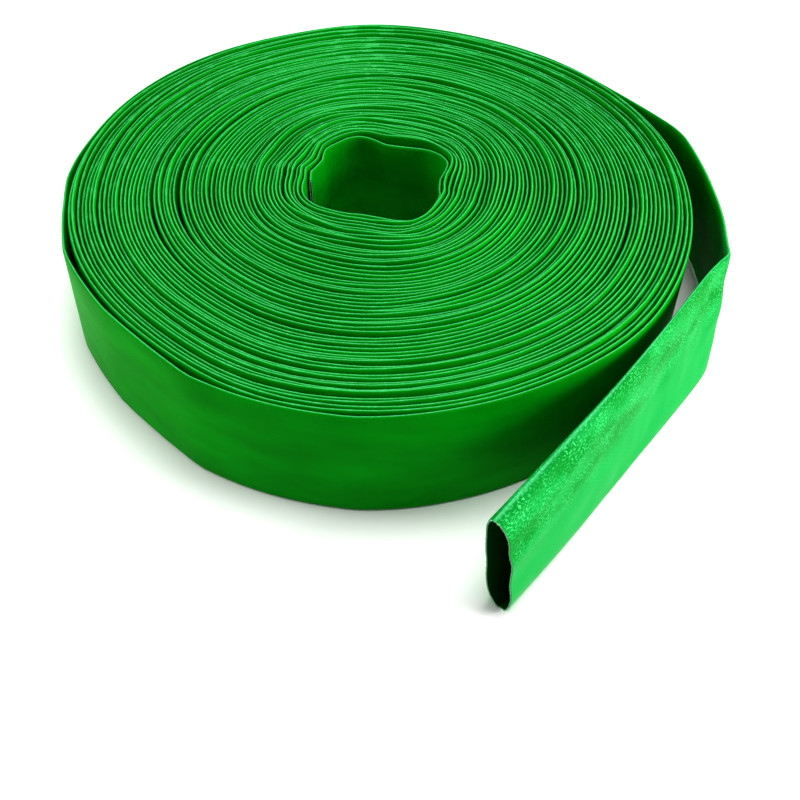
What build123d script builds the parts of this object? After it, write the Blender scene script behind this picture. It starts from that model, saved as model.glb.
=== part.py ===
from build123d import *
from math import ceil, cos, exp, pi, radians, sin
import os

# A 2 in PVC lay-flat fire hose, wound flat on edge into a roll, with its outer end left free.
# Origin: the roll's axis on the floor. +Z up. The free end's open mouth faces -Y.
# Every length of the hose is a tube in a tube in a tube: cover, woven reinforcement, liner.

# ---- the hose ----
flat_width = 83.0  # the flattened hose, which is the roll's height
layer = 0.4  # each of the three layers of the wall
wall = 3 * layer
layer_names = ("cover", "weave", "liner")

# ---- the roll ----
roll_radius = 219.5  # mean radius
ovalness = 3.5  # the roll has settled a little wider along X and narrower along Y
core_radius = 47.5  # mean radius of the opening in the middle
core_squareness = 4.5  # how far its corners stand out and its flats stand in
core_corner_angle = 68.0
square_fade = 45.0  # how fast the turns grow round towards the outside
inner_end_angle = 221.0  # where the hose's inner end lies in the core
peel_angle = 78.0  # where the free length leaves the outermost turn
whole_turns = 57
arcs_per_turn = 8

# ---- the free length ----
bend = (141.0, 189.0)  # the soft bend in the side run
bend_radius = 60.0
crease = (240.5, 68.0)  # the upright fold between the side run and the end run
mouth_y = -184.0
lean = 9.0  # degrees, top towards the roll
lean_full_after = 40.0  # the end run's lean grows from none over this length
opening_start_y = -55.0  # where the hose starts to open towards the mouth
mouth_gap = 15.0  # the inside of the opened mouth, side to side
mouth_height = 79.0
opening_steps = 6
closed_lumen = 0.2  # the space inside the hose where it starts to open

# ---- room between the bodies ----
peel_gap = 0.3
crease_gap = 0.65  # each side of the fold
overrun = 1.0  # how far a cutting shape runs past the face it cuts
flat_bulge = 0.05  # keeps the flat hose's sides true arcs

mid_radius = roll_radius - wall
start_radius = core_radius + wall
turns = whole_turns + (inner_end_angle - peel_angle) / 360
pitch = (mid_radius - start_radius) / turns


def roll_spot(turn, side=0.0):
    """A point beside the wound hose's middle line, this many turns from its inner end."""

    def on_line(turn):
        angle = radians(peel_angle) + 2 * pi * (turns - turn)
        mean = start_radius + pitch * turn
        square = core_squareness * exp(-pitch * turn / square_fade)
        oval = ovalness * (turn / turns) ** 2
        corner = angle - radians(core_corner_angle)
        radius = mean + square * cos(4 * corner) + oval * cos(2 * angle)
        return Vector(radius * cos(angle), radius * sin(angle))

    step = 1e-4
    along = (on_line(turn + step) - on_line(turn - step)).normalized()
    return on_line(turn) + Vector(-along.Y, along.X) * side


def side_run_line():
    """The side run's middle line: straight off the roll, round the soft bend and straight to the fold."""
    runs = FilletPolyline(roll_spot(turns), Vector(*bend), Vector(*crease), radius=bend_radius)
    return Wire(runs.edges())


side_line = side_run_line()


def side_spot(distance, side=0.0):
    """A point beside the side run's middle line or past its end, this far from where it leaves the roll."""
    on_line = min(max(distance, 0.0), side_line.length)
    along = side_line.tangent_at(on_line / side_line.length)
    at = side_line.position_at(on_line / side_line.length) + along * (distance - on_line)
    return at + Vector(-along.Y, along.X) * side


def line_or_arc(start, middle, end):
    if (middle - (start + end) / 2).length < 1e-6:
        return Edge.make_line(start, end)
    return Edge.make_three_point_arc(start, middle, end)


def ribbon(spot, stations, inset, past_ends):
    """The flattened hose on edge along a line, made smaller all round by inset."""
    half = wall - inset
    stations = [stations[0] - past_ends, *stations[1:-1], stations[-1] + past_ends]

    def chain(side):
        return [
            line_or_arc(spot(a, side), spot((a + b) / 2, side), spot(b, side))
            for a, b in zip(stations, stations[1:])
        ]

    ends = [Edge.make_line(spot(s, half), spot(s, -half)) for s in (stations[0], stations[-1])]
    face = Face(Wire([*chain(half), *chain(-half), *ends]))
    return Pos(0, 0, inset) * Solid.extrude(face, Vector(0, 0, flat_width - 2 * inset))


def nested(shape_at):
    """The cover, weave and liner. shape_at(inset, past_ends) is the hose made smaller all round by inset."""

    def skin(n):
        return shape_at(layer * n, 0)

    return [skin(0) - shape_at(layer, overrun), skin(1) - shape_at(2 * layer, overrun), skin(2)]


def roll_layers():
    last = turns - peel_gap / (2 * pi * mid_radius)
    count = ceil(turns * arcs_per_turn)
    stations = [last * n / count for n in range(count + 1)]
    per_turn = 2 * pi * core_radius
    return nested(lambda inset, past: ribbon(roll_spot, stations, inset, past / per_turn))


def side_run_layers():
    joins = [0.0]
    for edge in side_line.edges():
        joins.append(joins[-1] + edge.length)
    joins[-1] -= crease_gap
    return nested(lambda inset, past: ribbon(side_spot, joins, inset, past))


def open_share(y):
    """How far the hose has opened here: 0 while it is flat, 1 at the mouth."""
    share = max(0.0, (opening_start_y - y) / (opening_start_y - mouth_y))
    return share * share * (3 - 2 * share)


def end_run_section(y, inset):
    """The end run's outline across its length: two shallow arcs between the hose's two edges."""
    opened = open_share(y)
    half_height = (flat_width + opened * (mouth_height - flat_width)) / 2 - inset
    edge = wall - inset
    middle = edge + max(opened * mouth_gap / 2, flat_bulge)
    tilt = lean * min(1.0, max(0.0, (crease[1] - y) / lean_full_after))
    rise = (half_height + inset) * cos(radians(tilt)) + wall * sin(radians(tilt))
    plane = Plane(origin=(crease[0], y, rise), x_dir=(1, 0, 0), z_dir=(0, -1, 0))
    outline = Wire(
        [
            Edge.make_three_point_arc((edge, -half_height), (middle, 0), (edge, half_height)),
            Edge.make_line((edge, half_height), (-edge, half_height)),
            Edge.make_three_point_arc((-edge, half_height), (-middle, 0), (-edge, -half_height)),
            Edge.make_line((-edge, -half_height), (edge, -half_height)),
        ]
    )
    return plane * Rot(0, 0, tilt) * outline


def end_run_body(inset, first_y, last_y):
    """The end run made smaller all round by inset, between these two places along it."""
    span = mouth_y - opening_start_y
    opening = [opening_start_y + span * n / opening_steps for n in range(opening_steps)]
    middle = [crease[1] - lean_full_after, *opening]
    stations = [first_y, *(y for y in middle if y < first_y), last_y]
    return Solid.make_loft([end_run_section(y, inset) for y in stations], ruled=True)


def end_run_layers():
    first_y = crease[1] - crease_gap
    cover, weave, liner = nested(
        lambda inset, past: end_run_body(inset, first_y + past, mouth_y - past)
    )
    lumen = end_run_body(wall - closed_lumen / 2, opening_start_y, mouth_y - overrun)
    return [cover, weave, liner - lumen]


os.makedirs("parts", exist_ok=True)
stretches = {"roll": roll_layers, "side_run": side_run_layers, "end_run": end_run_layers}
for stretch, layers in stretches.items():
    for name, solid in zip(layer_names, layers()):
        export_step(solid, f"parts/{stretch}_{name}.step")
        print(stretch, name, f"{solid.volume / 1000:.1f} cm3", "valid" if solid.is_valid else "NOT VALID")
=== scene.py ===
import bpy, bmesh, math
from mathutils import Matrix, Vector, noise


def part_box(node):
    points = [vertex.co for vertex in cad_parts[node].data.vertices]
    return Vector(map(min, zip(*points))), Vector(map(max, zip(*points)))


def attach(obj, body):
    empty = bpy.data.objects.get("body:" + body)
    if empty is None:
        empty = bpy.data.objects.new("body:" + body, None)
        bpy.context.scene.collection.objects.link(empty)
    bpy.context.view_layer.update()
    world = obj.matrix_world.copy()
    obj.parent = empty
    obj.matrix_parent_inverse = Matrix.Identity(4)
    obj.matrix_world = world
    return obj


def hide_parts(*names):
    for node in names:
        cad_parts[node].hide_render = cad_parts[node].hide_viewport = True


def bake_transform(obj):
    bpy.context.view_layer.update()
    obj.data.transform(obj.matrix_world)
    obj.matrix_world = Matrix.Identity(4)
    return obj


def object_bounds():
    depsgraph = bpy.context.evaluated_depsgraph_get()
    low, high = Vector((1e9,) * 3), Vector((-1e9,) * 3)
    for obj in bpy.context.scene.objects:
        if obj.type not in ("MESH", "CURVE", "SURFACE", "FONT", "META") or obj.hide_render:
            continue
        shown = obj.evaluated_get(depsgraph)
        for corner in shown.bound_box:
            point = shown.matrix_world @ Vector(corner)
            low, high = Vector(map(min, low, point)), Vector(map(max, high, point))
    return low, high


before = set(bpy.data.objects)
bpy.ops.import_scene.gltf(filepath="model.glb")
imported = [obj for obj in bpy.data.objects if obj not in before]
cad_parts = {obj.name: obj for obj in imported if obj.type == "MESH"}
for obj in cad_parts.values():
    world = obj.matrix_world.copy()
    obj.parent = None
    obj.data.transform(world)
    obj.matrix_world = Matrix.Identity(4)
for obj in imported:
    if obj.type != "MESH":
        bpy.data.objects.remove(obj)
cad_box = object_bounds()

# A 2 in PVC lay-flat fire hose, wound flat on edge into a roll, with its outer end left free.
# Lengths are in metres and angles in radians. The roll's axis is the Z axis.

# ---- the hose ----
flat_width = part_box("roll_cover")[1].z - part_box("roll_cover")[0].z
half_width = flat_width / 2
layer = 0.0004
wall = 3 * layer
closed_lumen = 0.00005  # half the space inside the hose where it lies flat
fold_reach = 0.0026  # how far below the edge the folded side starts to thin
fold_arc = 0.0061  # the girth that each folded edge takes

# ---- the roll ----
roll_radius = 0.2195
core_radius = 0.0475
core_squareness = 0.0045
core_corner = math.radians(68)
square_fade = 0.045  # the core's squareness and its outward kinks die away over this much radius
dent_fade = 0.0050  # and its inward kinks over this much, within a turn or two
peel_angle = math.radians(78)
inner_end_angle = math.radians(221)
turns = 57 + (inner_end_angle - peel_angle) / (2 * math.pi)
start_radius = core_radius + wall
pitch = (roll_radius - wall - start_radius) / turns
inner_steps, outer_steps = 64, 84  # rings per turn at the core and at the rim
core_turns, core_turn_steps = 2.6, 150  # the kinked turns at the core have more rings
last_turn_steps = 160  # and so has the outermost turn


def smooth(share):
    share = min(1.0, max(0.0, share))
    return share * share * (3 - 2 * share)


def mix(a, b, share):
    return a + (b - a) * share


# ---------------------------------------------------------------- the roll's line
# The core is a bent square with kinked walls: angle, and how far its wall stands out there (mm)
core_kinks = [
    (16, 1.7),
    (36, -3.8),
    (56, -0.4),
    (74, -4.6),
    (94, -6.2),
    (122, -6.8),
    (134, -4.6),
    (146, -2.6),
    (162, -2.4),
    (177, 0.8),
    (192, -1.2),
    (209, 3.4),
    (222, -0.6),
    (243, -1.9),
    (258, -1.9),
    (268, -4.0),
    (286, -2.2),
    (314, -4.6),
    (334, 0.2),
    (350, -0.4),
]
# The roll isn't round either: angle, and how far its outer turns stand out there (mm)
rim_bulges = [
    (22, 2.5),
    (50, 0.5),
    (78, -3.2),
    (100, -3.8),
    (116, -1.6),
    (132, 2.8),
    (150, -0.8),
    (172, 1.8),
    (195, 1.6),
    (216, -0.4),
    (232, -2.2),
    (246, -3.8),
    (259, -5.4),
    (272, -5.0),
    (283, 0.6),
    (292, 4.2),
    (306, 4.8),
    (342, 4.8),
    (356, 7.2),
    (370, 4.0),
]
# The outermost turn hangs loose and lies in flats between its kinks: angle, width of the gap (mm)
loose_turn = [
    (196, 0.0),
    (212, 2.9),
    (226, 2.2),
    (241, 4.0),
    (257, 2.2),
    (270, 3.2),
    (280, 3.4),
    (292, 2.4),
    (306, 1.4),
    (322, 0.0),
]
flat_corners = [196, 218, 240, 257, 279, 306]  # the kinks' angles
flatness = 0.38  # 0 is round from kink to kink, and 1 is a straight flat
# Places where the winding is slack: radius, middle angle, half the arc it spans, width of the gap
slack_places = [
    (0.1400, 215, 50, 0.0024),
    (0.1390, 60, 60, 0.0014),
    (0.1570, 245, 70, 0.0014),
    (0.1300, 300, 60, 0.0010),
    (0.1760, 20, 60, 0.0012),
    (0.1080, 130, 70, 0.0009),
    (0.1960, 190, 70, 0.0012),
    (0.2030, 70, 60, 0.0014),
    (0.0850, 350, 70, 0.0009),
    (0.0660, 215, 60, 0.0013),
    (0.0505, 214, 40, 0.0012),
]
gap_fade = 0.022  # how fast the turns outside a slack place close up again
wander = 0.00085  # how far a bundle of turns wanders in and out
scatter = 0.00010  # how far one turn strays from its neighbours
ripple = 0.0038  # how far a turn's edges stand up from the floor at most
core_step = 0.0040  # how much higher the turns round the core stand
core_step_turns = 9
flare = 0.0042  # how much further out the turns' lower edges stand, on the near side
flare_middle, flare_arc = 260, 52


def straight_between(kinks, angle):
    """A kinked profile read at an angle in degrees: straight from each kink to the next."""
    first = kinks[0][0]
    angle = (angle - first) % 360 + first
    for (low, a), (high, b) in zip(kinks, kinks[1:] + [(kinks[0][0] + 360, kinks[0][1])]):
        if angle <= high:
            return mix(a, b, (angle - low) / (high - low)) / 1000
    return 0.0


def curved_between(bulges, angle):
    """The same with the corners rounded off, by averaging over a few degrees."""
    return sum(straight_between(bulges, angle + step) for step in (-6, -3, 0, 3, 6)) / 5


def flat_depth(radius, degrees):
    """How far inside a round turn the flat between two kinks lies."""
    for low, high in zip(flat_corners, flat_corners[1:]):
        if low <= degrees <= high:
            half = math.radians(high - low) / 2
            return flatness * radius * (1 - math.cos(half) / math.cos(math.radians(degrees - low) - half))
    return 0.0


def slackness(mean, degrees):
    """How far the slack places push this turn outwards."""
    push = 0.0
    for place, middle, half_arc, width in slack_places:
        off = (degrees - middle + 180) % 360 - 180
        beyond = mean + pitch * off / 360 - place
        if beyond > 0 and abs(off) < half_arc:
            push += width * smooth(1 - abs(off) / half_arc) * math.exp(-beyond / gap_fade)
    return push


def roll_spot(turn, side=0.0):
    """A point of the hose's middle line, this many turns from its inner end. Side is -1 at its lower
    edge and 1 at its upper one."""
    angle = peel_angle + 2 * math.pi * (turns - turn)
    degrees = math.degrees(angle)
    mean = start_radius + pitch * turn
    outermost = (turn / turns) ** 2
    square = core_squareness * math.exp(-pitch * turn / square_fade)
    kink = straight_between(core_kinks, degrees)
    kink *= math.exp(-pitch * turn / (square_fade if kink > 0 else dent_fade))
    radius = mean + square * math.cos(4 * (angle - core_corner)) + kink
    radius += curved_between(rim_bulges, degrees) * outermost
    if turns - 1 < turn and loose_turn[0][0] < degrees < loose_turn[-1][0]:
        radius += straight_between(loose_turn, degrees) - flat_depth(radius, degrees)
    # Turns lie in bundles, now tight and now slack, and each wanders a little in and out and up and down
    settled = smooth((turns - turn) / 0.25)
    waver = noise.noise(Vector((math.cos(angle) * 1.6, math.sin(angle) * 1.6, mean * 110)))
    own = noise.noise(Vector((turn * 7.1, 3.7, 0)))
    radius += settled * (wander * waver + scatter * own + slackness(mean, degrees))
    near_side = smooth(2 - abs((degrees - flare_middle + 180) % 360 - 180) / flare_arc)
    radius += flare * near_side * outermost * (1 - side) / 2
    rise = 0.36 + 1.1 * noise.noise(Vector((turn * 2.3, 11.3, 0)))
    rise += 0.6 * noise.noise(Vector((math.cos(angle) * 2.2, math.sin(angle) * 2.2, mean * 250)))
    lift = ripple * smooth((turns - turn - 0.9) / 1.5) * min(1.0, max(0.0, rise))
    # The innermost turn has slipped down, so the step starts after it
    lift += core_step * smooth((turn - 0.45) / 0.8) * math.exp(-turn / core_step_turns)
    return Vector((radius * math.cos(angle), radius * math.sin(angle), lift + half_width * (side + 1)))


def roll_stations():
    """Each ring of the wound hose: middle, half height as a vector, side, gap, distance along the hose."""
    marks = [0.0]
    while marks[-1] < turns:
        steps = mix(inner_steps, outer_steps, marks[-1] / turns)
        if marks[-1] < core_turns:
            steps = core_turn_steps
        elif marks[-1] > turns - 1:
            steps = last_turn_steps
        marks.append(marks[-1] + 1 / steps)
    marks[-1] = turns
    lows = [roll_spot(mark, -1) for mark in marks]
    highs = [roll_spot(mark, 1) for mark in marks]
    stations, distance = [], 0.0
    for n, (low, high) in enumerate(zip(lows, highs)):
        before, after = max(n - 1, 0), min(n + 1, len(marks) - 1)
        along = (highs[after] + lows[after] - highs[before] - lows[before]).normalized()
        up = (high - low) / 2
        side = up.cross(along).normalized()
        if n:
            distance += ((high + low) / 2 - stations[-1][0]).length
        stations.append(((high + low) / 2, up, side, 0.0, distance))
    return stations


# ---------------------------------------------------------------- the free length's line
def mm(*numbers):
    return Vector(numbers) / 1000


# The hose's two edges from the roll to the mouth, as top and bottom pairs across the hose.
peel = roll_spot(turns) * 1000
before_peel = roll_spot(turns - 0.0016) * 1000
edge_route = [
    ((before_peel.x, before_peel.y, 83), (before_peel.x, before_peel.y, 0)),
    ((peel.x + 9, peel.y - 1.8, 83), (peel.x + 9, peel.y - 1.8, 0)),
    ((80, 203.6, 83), (80, 204.2, 0)),
    ((116, 195.5, 82.8), (118, 196.5, 0)),
    ((138, 188.5, 82.6), (142, 189, 0)),
    ((154.5, 175.5, 82.5), (160, 178, 0)),
    ((181.5, 149.5, 82.4), (184, 158, 0)),
    ((209.5, 116.5, 82.3), (215, 119.5, 0)),
    ((225, 91.5, 82.2), (236.5, 78, 0)),
    ((230.6, 84.5, 82.2), (244.6, 62.5, 0)),
    ((229.4, 76, 82.1), (246.6, 52, 0)),
    ((228.6, 58, 82), (247.2, 30, 0)),
    ((231, 20, 82), (247.4, -8, 0)),
    ((233.4, -30, 82), (247.4, -50, 0)),
    ((234.4, -80, 81.6), (247.2, -96, 0)),
    ((233.6, -130, 80.4), (246.4, -140, 0)),
    ((232.6, -184, 78.6), (244.2, -183, 0)),
]
route_resolution = 12


def nurbs_line(name, points):
    """The points that a smooth NURBS spline follows between given control points."""
    curve = bpy.data.curves.new(name, "CURVE")
    curve.dimensions = "3D"
    curve.resolution_u = route_resolution
    spline = curve.splines.new("NURBS")
    spline.points.add(len(points) - 1)
    for point, place in zip(spline.points, points):
        point.co = (*place, 1)
    spline.order_u = 3
    spline.use_endpoint_u = True
    holder = bpy.data.objects.new(name, curve)
    mesh = bpy.data.meshes.new_from_object(holder)
    line = [v.co.copy() for v in mesh.vertices]
    bpy.data.objects.remove(holder)
    bpy.data.meshes.remove(mesh)
    return line


mouth_half_gap = 0.0076
opening_starts = 0.245  # metres along the free length, just past the fold
tuck_length = 0.0020  # the first few mm lie inside the roll's end
tuck_depth = 0.08  # and are this much thinner
sway_depth = 0.0024  # how far the free length's flat sides bow one way or the other


def tail_gap(distance, length):
    """Half the space inside the free length, which opens towards its mouth."""
    ends = smooth(distance / 0.05)
    slack = 0.0004 + 0.0003 * noise.noise(Vector((distance * 22, 5.1, 0)))
    opened = smooth((distance - opening_starts - 0.05) / (length - opening_starts - 0.02))
    return ends * slack + mouth_half_gap * opened


def tail_stations(start_distance):
    top = nurbs_line("top edge", [mm(*pair[0]) for pair in edge_route])
    bottom = nurbs_line("bottom edge", [mm(*pair[1]) for pair in edge_route])
    middles = [(t + b) / 2 for t, b in zip(top, bottom)]
    runs = [0.0]
    for a, b in zip(middles, middles[1:]):
        runs.append(runs[-1] + (b - a).length)
    stations = []
    for n, middle in enumerate(middles):
        before, after = middles[max(n - 1, 0)], middles[min(n + 1, len(middles) - 1)]
        tucked = 1 - tuck_depth * (1 - smooth(runs[n] / tuck_length))
        up = (top[n] - bottom[n]) / 2 * (1 - (1 - tucked) / 30)
        side = up.cross(after - before).normalized() * tucked
        stations.append((middle, up, side, tail_gap(runs[n], runs[-1]), start_distance + runs[n]))
    return stations, middles, runs[-1]


# ---------------------------------------------------------------- tubes of flat hose
def outline(inset, side_steps, edge_steps):
    """The section's points as (height from the middle, side offset, distance round), smaller by inset."""
    radius = wall - inset
    reach = fold_reach - inset
    straight = half_width - fold_reach
    points, girth = [], 0.0
    for sign in (1, -1):
        for n in range(side_steps):
            points.append((sign * mix(-straight, straight, n / side_steps), sign * radius, girth))
            girth += 2 * straight / side_steps
        for n in range(edge_steps):
            turned = math.pi * n / edge_steps
            height = straight + reach * math.sin(turned)
            points.append((sign * height, sign * radius * math.cos(turned), girth))
            girth += fold_arc / edge_steps
    points.append((*points[0][:2], girth))
    return points


def on_section(station, height, offset):
    """A point of a ring. The sides part by the station's gap, and close up towards the hose's edges.
    The outer side is fuller above and the inner side below, and each has shallow dents of its own.
    They bow together where the hose lies flat."""
    middle, up, side, gap, distance = station
    share = min(1.0, max(-1.0, height / half_width))
    if gap == 0:
        return middle + up * share + side * offset
    outer = 1 if offset > 0 else -1
    parted = gap * (1 - abs(share) ** 5) ** 0.6 * (1 + 0.3 * share * outer)
    dent = noise.noise(Vector((distance * 26, share * 2.2, 7.0 + outer)))
    parted += 0.24 * gap * dent * (1 - share**2)
    sway = noise.noise(Vector((distance * 30, share * 1.7, 1.5))) + 0.22 * noise.noise(
        Vector((distance * 75, share * 4.0, 9.5))
    )
    sway *= 1 - 0.8 * smooth(gap / mouth_half_gap)  # the open mouth stands in one smooth curve
    offset += sway_depth * sway * (1 - share**4) * min(1.0, gap / 0.0004)
    crease = math.exp(-(((share - 0.42) / 0.14) ** 2)) if outer > 0 else 0.0  # above the middle
    return middle + up * share + side * (offset + outer * (parted - 0.13 * gap * crease))


def hose_layer(name, stations, outer, inner, side_steps, edge_steps, inner_every=1):
    """One layer of the hose's wall, from its outer skin to its inner one, closed at both cut ends."""
    skins = [(station, outer) for station in stations]
    skins += [(station, inner) for station in list(reversed(stations))[::inner_every]]
    if skins[-1][0] is not stations[0]:
        skins.append((stations[0], inner))
    skins.append(skins[0])
    columns, rows = 2 * (side_steps + edge_steps), len(skins) - 1
    outlines = {inset: outline(inset, side_steps, edge_steps) for inset in (outer, inner)}
    bm = bmesh.new()
    bmesh.ops.create_grid(bm, x_segments=columns, y_segments=rows, size=0.5)
    uv = bm.loops.layers.uv.new("hose")
    where, row_of = {}, {}
    for vert in bm.verts:
        row_of[vert] = round((vert.co.y + 0.5) * rows)
        station, inset = skins[row_of[vert]]
        height, offset, girth = outlines[inset][round((vert.co.x + 0.5) * columns)]
        vert.co = on_section(station, height, offset)
        where[vert] = (station[4], girth)
    for face in bm.faces:
        for loop in face.loops:
            loop[uv].uv = where[loop.vert]
    cut_rows = (0, len(stations) - 1, len(stations), rows - 1, rows)  # the cut ends have sharp rims
    for edge in bm.edges:
        row, other = (row_of[vert] for vert in edge.verts)
        edge.smooth = row != other or row not in cut_rows
    bmesh.ops.remove_doubles(bm, verts=bm.verts, dist=1e-7)
    bmesh.ops.recalc_face_normals(bm, faces=bm.faces)
    return finished(name, bm)


def finished(name, bm):
    for face in bm.faces:
        face.smooth = True
    mesh = bpy.data.meshes.new(name)
    bm.to_mesh(mesh)
    bm.free()
    piece = bpy.data.objects.new(name, mesh)
    bpy.context.scene.collection.objects.link(piece)
    return piece


yarn_root, yarn_tip = 0.00028, 0.00010  # a cut yarn's radius where it leaves the wall and at its end
shortest_yarn = 0.0007


def yarn_ends(name, station, outwards, count, seed, longest):
    """The weave's cut yarns: short tapered ends that stand out of the cut edge at odd angles."""
    ring = outline(1.5 * layer, 24, 4)
    bm = bmesh.new()
    for n in range(count):
        share = (n + 0.5) / count * (len(ring) - 1)
        low, part = int(share), share % 1
        height = mix(ring[low][0], ring[low + 1][0], part)
        offset = mix(ring[low][1], ring[low + 1][1], part)
        root = on_section(station, height, offset)
        stray = Vector([noise.noise(Vector((n * 3.1, seed, 0.5 + 7.3 * axis))) for axis in range(3)])
        lean = (outwards * 1.2 + stray * 0.9).normalized()
        length = shortest_yarn + longest * abs(noise.noise(Vector((n * 2.3, seed, 4.2))))
        matrix = lean.to_track_quat("Z", "Y").to_matrix().to_4x4()
        matrix.translation = root + lean * length * 0.3
        bmesh.ops.create_cone(
            bm, cap_ends=True, segments=5, radius1=yarn_root, radius2=yarn_tip, depth=length, matrix=matrix
        )
    return finished(name, bm)


# ---------------------------------------------------------------- making the pieces
wound = roll_stations()
roll_cover = hose_layer("wound_cover", wound, 0, layer, 3, 4, 2)
roll_weave = hose_layer("wound_weave", wound, layer, 2 * layer, 1, 3, 2)
roll_liner = hose_layer("wound_liner", wound, 2 * layer, wall - closed_lumen, 1, 3, 2)

free, middles, tail_length = tail_stations(wound[-1][4])
tail_cover = hose_layer("free_cover", free, 0, layer, 16, 4)
tail_weave = hose_layer("free_weave", free, layer, 2 * layer, 16, 4)
tail_liner = hose_layer("free_liner", free, 2 * layer, wall - closed_lumen, 16, 4)
mouth_out = (free[-1][0] - free[-2][0]).normalized()
core_out = (wound[0][0] - wound[1][0]).normalized()
mouth_yarns = yarn_ends("mouth_yarn_ends", free[-1], mouth_out, 190, 1.0, 0.0016)
core_yarns = yarn_ends("core_yarn_ends", wound[0], core_out, 60, 2.0, 0.0002)


# ---------------------------------------------------------------- materials
def srgb(text):
    """A hex colour as the linear colour that nodes take."""
    parts = [int(text[n : n + 2], 16) / 255 for n in (1, 3, 5)]
    return (*[p / 12.92 if p <= 0.04045 else ((p + 0.055) / 1.055) ** 2.4 for p in parts], 1)


def add(tree, kind, inputs, **settings):
    """Adds a node. Each input is given a value, or an output of another node to link it to."""
    made = tree.nodes.new(kind)
    for name, value in settings.items():
        setattr(made, name, value)
    for key, value in inputs.items():
        if isinstance(value, bpy.types.NodeSocket):
            tree.links.new(value, made.inputs[key])
        else:
            made.inputs[key].default_value = value
    return made


def new_material(name):
    material = bpy.data.materials.new(name)
    material.use_nodes = True
    tree = material.node_tree
    return material, tree, tree.nodes["Principled BSDF"]


fold_girth = 2 * (half_width - fold_reach) + fold_arc  # from one fold line to the other, round the hose
free_end_from = wound[-1][4] + 0.20  # distance along the hose where the free end's painted light, painted shade and painted glints begin
free_end_fully = free_end_from + 0.06
cloud_scale = 42.0  # the skin's light and dark clouds are about 24 mm across, and drawn out lengthwise
patch_scale = 75.0  # patches of painted dent shade and of painted glints are about 13 mm across
fleck_scale = 600.0  # painted glint flecks, and the bumps under them, are about 1.7 mm across
grain_scale = 700.0  # the skin's own grain, about 1.4 mm across
warp_spacing = 0.0015  # real yarns lie 1 mm apart, too fine to show, so they are drawn half as far again
weft_spacing = 0.0020  # real picks lie 1.3 mm apart, drawn half as far again


def weave_relief(tree):
    """The woven layer under the skin: knuckles where yarns cross, shifted from one row to the next."""
    place = add(tree, "ShaderNodeUVMap", {}, uv_map="hose")
    split = add(tree, "ShaderNodeSeparateXYZ", {0: place.outputs[0]})
    sines = []
    for output, spacing in ((0, weft_spacing), (1, warp_spacing)):
        per_metre = math.pi / spacing
        turned = add(tree, "ShaderNodeMath", {0: split.outputs[output], 1: per_metre}, operation="MULTIPLY")
        sines.append(add(tree, "ShaderNodeMath", {0: turned.outputs[0]}, operation="SINE"))
    knuckles = add(
        tree, "ShaderNodeMath", {0: sines[0].outputs[0], 1: sines[1].outputs[0]}, operation="MULTIPLY"
    )
    return place, split, knuckles


def near_fold(tree, split, reach):
    """1 on the hose's two fold lines and 0 further than reach from them."""
    start = fold_girth + fold_arc / 2
    shifted = add(tree, "ShaderNodeMath", {0: split.outputs[1], 1: start}, operation="ADD")
    away = add(tree, "ShaderNodeMath", {0: shifted.outputs[0], 1: fold_girth / 2}, operation="PINGPONG")
    return add(
        tree,
        "ShaderNodeMapRange",
        {"Value": away.outputs[0], "From Min": 0.0, "From Max": reach, "To Min": 1.0, "To Max": 0.0},
        interpolation_type="SMOOTHSTEP",
    )


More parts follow.
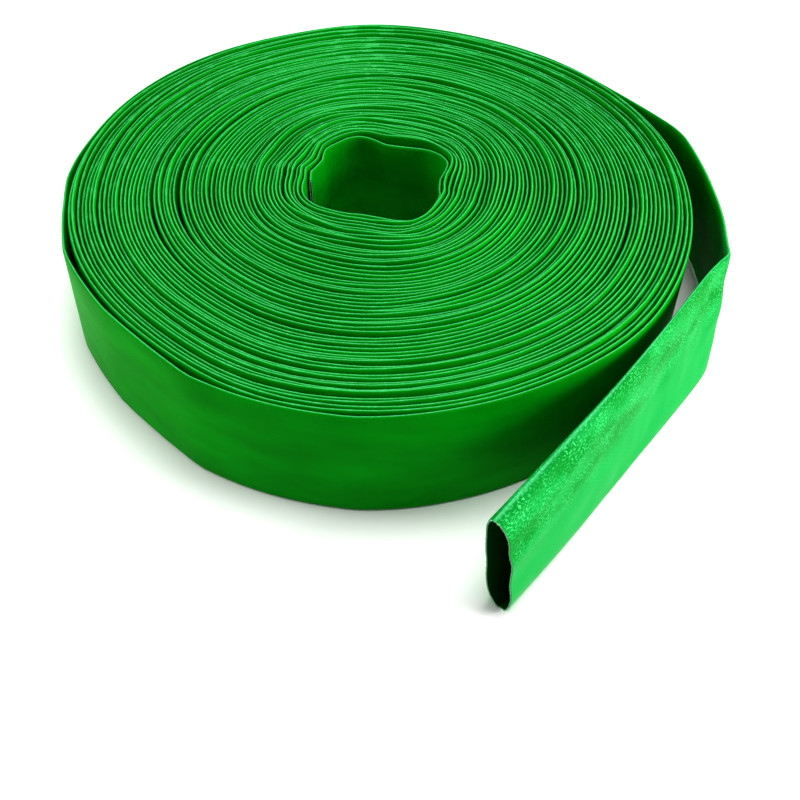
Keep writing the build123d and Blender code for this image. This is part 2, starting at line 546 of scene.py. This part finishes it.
def cover_material():
    # Flexible PVC, extruded over a woven polyester tube. The skin is thin and satin, so the yarns' knuckles
    # stand
    #  through it, and its folded edges carry a painted highlight.
    material, tree, shader = new_material("green_flexible_pvc")
    place, split, knuckles = weave_relief(tree)
    # painted highlight along the crests of the two folds
    fold_crest = near_fold(tree, split, 0.0011)
    streaks = add(tree, "ShaderNodeMapping", {"Vector": place.outputs[0], "Scale": (0.35, 1.0, 1.0)})
    cloudy = add(
        tree, "ShaderNodeTexNoise", {"Vector": streaks.outputs[0], "Scale": cloud_scale, "Detail": 4.0}
    )
    grain = add(
        tree, "ShaderNodeTexNoise", {"Vector": place.outputs[0], "Scale": grain_scale, "Detail": 3.0}
    )
    shade = add(
        tree,
        "ShaderNodeMapRange",
        {"Value": cloudy.outputs["Fac"], "From Min": 0.3, "From Max": 0.7},
    )
    greens = {0: shade.outputs[0], 6: srgb("#028B0C"), 7: srgb("#02A216")}
    body = add(tree, "ShaderNodeMix", greens, data_type="RGBA")
    # The free end has painted light and shade: its lower half is painted paler, as if lit, and its upper half
    #  darker, with patches of painted dent shade and pale flecks of painted glint
    free_end = add(
        tree,
        "ShaderNodeMapRange",
        {"Value": split.outputs[0], "From Min": free_end_from, "From Max": free_end_fully},
    )
    shoulder = add(
        tree,
        "ShaderNodeMapRange",
        {
            "Value": split.outputs[1],
            "From Min": 0.40 * flat_width,
            "From Max": 0.62 * flat_width,
            "To Min": 0.08,
            "To Max": 1.0,
        },
    )
    upper_free_end = add(
        tree, "ShaderNodeMath", {0: free_end.outputs[0], 1: shoulder.outputs[0]}, operation="MULTIPLY"
    )
    dents = add(
        tree, "ShaderNodeTexNoise", {"Vector": streaks.outputs[0], "Scale": patch_scale, "Detail": 2.0}
    )
    # painted shade in patches, standing in for the shading of soft dents
    dent_shade = add(
        tree,
        "ShaderNodeMapRange",
        {"Value": dents.outputs["Fac"], "From Min": 0.40, "From Max": 0.60, "To Min": 1.0, "To Max": 0.25},
    )
    painted_shade = add(
        tree, "ShaderNodeMath", {0: dent_shade.outputs[0], 1: shoulder.outputs[0]}, operation="MULTIPLY"
    )
    # painted light and shade: the lower half paler as if lit, the upper half darker as if shaded
    lit_and_shaded_greens = {0: painted_shade.outputs[0], 6: srgb("#20A651"), 7: srgb("#038A2C")}
    lit_and_shaded_skin = add(tree, "ShaderNodeMix", lit_and_shaded_greens, data_type="RGBA")
    either_skin = {0: free_end.outputs[0], 6: body.outputs[2], 7: lit_and_shaded_skin.outputs[2]}
    paler = add(tree, "ShaderNodeMix", either_skin, data_type="RGBA")
    # painted glints: pale flecks on the free end's upper half stand in for highlights off the yarns' knuckles
    patches = add(
        tree, "ShaderNodeTexNoise", {"Vector": place.outputs[0], "Scale": patch_scale, "Detail": 5.0}
    )
    stretch = add(tree, "ShaderNodeMapping", {"Vector": place.outputs[0], "Scale": (1.0, 2.2, 1.0)})
    fleck = add(
        tree, "ShaderNodeTexNoise", {"Vector": stretch.outputs[0], "Scale": fleck_scale, "Detail": 2.0}
    )
    glint_patches = add(
        tree,
        "ShaderNodeMapRange",
        {"Value": patches.outputs["Fac"], "From Min": 0.36, "From Max": 0.60, "To Min": 0.15, "To Max": 0.6},
    )
    glint_specks = add(
        tree,
        "ShaderNodeMapRange",
        {"Value": fleck.outputs["Fac"], "From Min": 0.52, "From Max": 0.62, "To Min": 0.0, "To Max": 1.7},
    )
    glint_patches_here = add(
        tree, "ShaderNodeMath", {0: glint_patches.outputs[0], 1: upper_free_end.outputs[0]}, operation="MULTIPLY"
    )
    glint = add(
        tree, "ShaderNodeMath", {0: glint_patches_here.outputs[0], 1: glint_specks.outputs[0]}, operation="MULTIPLY"
    )
    glint_colours = {0: glint.outputs[0], 6: paler.outputs[2], 7: srgb("#4CD07C")}
    glinted_skin = add(tree, "ShaderNodeMix", glint_colours, data_type="RGBA")
    # The folded edges carry a painted highlight, and the yarns' hollows are painted a little darker as shade
    crest_highlight = add(tree, "ShaderNodeMath", {0: fold_crest.outputs[0], 1: grain.outputs["Fac"]}, operation="MULTIPLY")
    crest_highlit_colours = {0: crest_highlight.outputs[0], 6: glinted_skin.outputs[2], 7: srgb("#74EDAC")}
    skin = add(tree, "ShaderNodeMix", crest_highlit_colours, data_type="RGBA")
    # painted shade: the skin is a little darker in the weave's hollows
    hollow_shade = add(
        tree,
        "ShaderNodeMapRange",
        {"Value": knuckles.outputs[0], "From Min": -1.0, "From Max": 1.0, "To Min": 0.96, "To Max": 1.0},
    )
    shadowed = {0: 1.0, 6: skin.outputs[2], 7: hollow_shade.outputs[0]}
    hollow_shaded_skin = add(tree, "ShaderNodeMix", shadowed, data_type="RGBA", blend_type="MULTIPLY")
    tree.links.new(hollow_shaded_skin.outputs[2], shader.inputs["Base Color"])
    matt = add(
        tree,
        "ShaderNodeMapRange",
        {"Value": grain.outputs["Fac"], "From Min": 0.3, "From Max": 0.7, "To Min": 0.30, "To Max": 0.44},
    )
    tree.links.new(matt.outputs[0], shader.inputs["Roughness"])
    shader.inputs["IOR"].default_value = 1.5
    shader.inputs["Specular IOR Level"].default_value = 0.018
    # The yarns stand through the skin faintly on the roll, and plainly on the free end's upper half
    showing = add(
        tree, "ShaderNodeMapRange", {"Value": upper_free_end.outputs[0], "To Min": 0.10, "To Max": 0.5}
    )
    yarns = add(tree, "ShaderNodeMath", {0: knuckles.outputs[0], 1: showing.outputs[0]}, operation="MULTIPLY")
    flecked = add(
        tree, "ShaderNodeMath", {0: fleck.outputs["Fac"], 1: showing.outputs[0]}, operation="MULTIPLY"
    )
    raised = add(
        tree,
        "ShaderNodeMath",
        {0: flecked.outputs[0], 1: 3.0, 2: yarns.outputs[0]},
        operation="MULTIPLY_ADD",
    )
    bump = add(tree, "ShaderNodeBump", {"Strength": 0.6, "Distance": 0.00018, "Height": raised.outputs[0]})
    tree.links.new(bump.outputs[0], shader.inputs["Normal"])
    return material


def weave_material():
    # Polyester filament yarn, circular woven and soaked with the PVC that was pushed through it. It is
    # pale and dull, and its cut yarns end in a fringe.
    material, tree, shader = new_material("polyester_filament_yarn")
    knuckles = weave_relief(tree)[-1]
    tint = add(
        tree, "ShaderNodeMapRange", {"Value": knuckles.outputs[0], "From Min": -1.0, "From Max": 1.0}
    )
    yarn_colours = {0: tint.outputs[0], 6: srgb("#6FAE86"), 7: srgb("#B5DCC0")}
    colour = add(tree, "ShaderNodeMix", yarn_colours, data_type="RGBA")
    tree.links.new(colour.outputs[2], shader.inputs["Base Color"])
    shader.inputs["Roughness"].default_value = 0.75
    shader.inputs["Sheen Weight"].default_value = 0.1
    bump = add(tree, "ShaderNodeBump", {"Strength": 0.8, "Distance": 0.0003, "Height": knuckles.outputs[0]})
    tree.links.new(bump.outputs[0], shader.inputs["Normal"])
    return material


def liner_material():
    # Flexible PVC again, but the lining that carries the water: smoother and darker, with the fine
    # lengthwise ribs that the warp yarns press into it.
    material, tree, shader = new_material("dark_pvc_lining")
    place = add(tree, "ShaderNodeUVMap", {}, uv_map="hose")
    split = add(tree, "ShaderNodeSeparateXYZ", {0: place.outputs[0]})
    turned = add(
        tree, "ShaderNodeMath", {0: split.outputs[1], 1: 2 * math.pi / warp_spacing}, operation="MULTIPLY"
    )
    ribs = add(tree, "ShaderNodeMath", {0: turned.outputs[0]}, operation="SINE")
    tint = add(
        tree, "ShaderNodeMapRange", {"Value": ribs.outputs[0], "From Min": -1.0, "From Max": 1.0}
    )
    lining_greens = {0: tint.outputs[0], 6: srgb("#02400C"), 7: srgb("#045A16")}
    colour = add(tree, "ShaderNodeMix", lining_greens, data_type="RGBA")
    tree.links.new(colour.outputs[2], shader.inputs["Base Color"])
    shader.inputs["Roughness"].default_value = 0.4
    shader.inputs["Specular IOR Level"].default_value = 0.08
    bump = add(tree, "ShaderNodeBump", {"Strength": 0.6, "Distance": 0.0003, "Height": ribs.outputs[0]})
    tree.links.new(bump.outputs[0], shader.inputs["Normal"])
    return material


green_pvc = cover_material()
yarn = weave_material()
lining = liner_material()
for piece, material, layer_slot in (
    (roll_cover, green_pvc, "cover"),
    (roll_weave, yarn, "weave"),
    (roll_liner, lining, "liner"),
    (tail_cover, green_pvc, "cover"),
    (tail_weave, yarn, "weave"),
    (tail_liner, lining, "liner"),
    (mouth_yarns, yarn, "weave"),
    (core_yarns, yarn, "weave"),
):
    piece.data.materials.append(material)

# ---------------------------------------------------------------- the frame
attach(roll_cover, "roll")
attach(roll_weave, "roll")
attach(roll_liner, "roll")
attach(core_yarns, "roll")
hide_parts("roll_cover")
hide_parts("roll_weave")
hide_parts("roll_liner")

for piece in (tail_cover, tail_weave, tail_liner):
    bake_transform(piece)
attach(mouth_yarns, "end_run")
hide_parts("side_run_cover", "end_run_cover")
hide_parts("side_run_weave", "end_run_weave")
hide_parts("side_run_liner", "end_run_liner")


# ---------------------------------------------------------------- floor, light and camera
def floor_material():
    # Seamless white studio paper: matt, with no shine.
    material, _, shader = new_material("white_studio_paper")
    shader.inputs["Base Color"].default_value = srgb("#FAFAF9")
    shader.inputs["Roughness"].default_value = 0.9
    shader.inputs["Specular IOR Level"].default_value = 0.0
    return material


bm = bmesh.new()
bmesh.ops.create_circle(bm, cap_ends=True, segments=96, radius=6.0)
floor = finished("studio_floor", bm)
floor.location.z = cad_box[0][2] - 0.0003  # just clear of the hose's edges
floor.data.materials.append(floor_material())


def lamp(name, place, aim, size, power):
    data = bpy.data.lights.new(name, "AREA")
    data.shape = "DISK"
    data.size = size
    data.energy = power
    holder = bpy.data.objects.new(name, data)
    holder.location = place
    holder.rotation_euler = (Vector(aim) - Vector(place)).to_track_quat("-Z", "Y").to_euler()
    bpy.context.scene.collection.objects.link(holder)


lamp("left_softbox", (-1.5, -0.9, 0.60), (-0.1, 0.0, 0.05), 0.9, 17)
lamp("right_softbox", (1.45, 0.75, 0.55), (0.1, 0.0, 0.05), 0.8, 26)
ceiling_data = bpy.data.lights.new("ceiling", "SUN")
ceiling_data.energy = 2.25
ceiling_data.angle = math.radians(34)
ceiling = bpy.data.objects.new("ceiling", ceiling_data)
ceiling.rotation_euler = (math.radians(-12), 0, 0)
bpy.context.scene.collection.objects.link(ceiling)

world = bpy.data.worlds.new("studio")
bpy.context.scene.world = world
world.use_nodes = True
sky = world.node_tree
ray = add(sky, "ShaderNodeLightPath", {})
# The studio is white to look at, and its walls give little light of their own
brightness = {"Value": ray.outputs["Is Camera Ray"], "To Min": 0.21, "To Max": 0.95}
seen = add(sky, "ShaderNodeMapRange", brightness)
sky.nodes["Background"].inputs["Color"].default_value = (1, 1, 1, 1)
sky.links.new(seen.outputs[0], sky.nodes["Background"].inputs["Strength"])
view = bpy.context.scene.view_settings
view.view_transform = "Standard"
view.gamma = 0.80  # deepens the shaded green without greying it
view.exposure = 0.27

camera_data = bpy.data.cameras.new("camera")
camera = bpy.data.objects.new("camera", camera_data)
bpy.context.scene.collection.objects.link(camera)
camera_data.lens = 45.25
camera_data.sensor_width = 36
camera.location = (0.3840, -0.4480, 0.5088)
down = math.radians(48.228)
ahead = Vector((-0.6299 * math.cos(down), 0.7767 * math.cos(down), -math.sin(down)))
camera.rotation_euler = ahead.to_track_quat("-Z", "Y").to_euler()
bpy.context.scene.camera = camera
